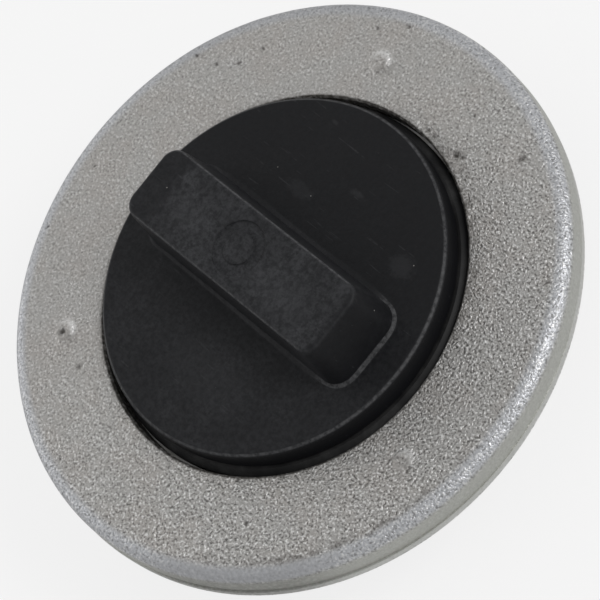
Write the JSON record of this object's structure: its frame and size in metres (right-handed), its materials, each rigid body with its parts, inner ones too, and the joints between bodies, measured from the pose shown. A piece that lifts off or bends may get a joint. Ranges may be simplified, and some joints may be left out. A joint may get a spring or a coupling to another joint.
{
  "type": "threaded drain plug",
  "caption": "Round cast flange with a threaded hub, closed by a screw plug with a raised grip bar and a rubber sealing ring under its head.",
  "frame": {"origin": "on the thread's axis, in the plane of the flange's back, where the hub starts", "axes": "+Z out of the face towards the plug's grip, +X along the grip with the plug screwed home"},
  "size_m": [0.0802, 0.0803, 0.0294],
  "materials": {
    "cast_aluminium": "sand cast, rough",
    "black_plastic": "moulded, matte, dusty",
    "black_rubber": "smooth, slightly glossy"
  },
  "bodies": {
    "socket": {"housing": "cast_aluminium"},
    "ring": {"seal_ring": "black_rubber"},
    "screw": {"plug": "black_plastic"}
  },
  "joints": [
    {"name": "ring_lift", "type": "slide", "parent": "socket", "child": "ring", "axis": [0, 0, 1], "range_m": [0, 0.0139]},
    {"name": "plug_turn", "type": "hinge", "parent": "ring", "child": "screw", "pos_m": [0, 0, 0], "axis": [0, 0, 1], "range_deg": [0, 2160]}
  ],
  "couplings": [
    {"joint": "ring_lift", "follows": "plug_turn", "m_per_rad": 0.00036749}
  ]
}
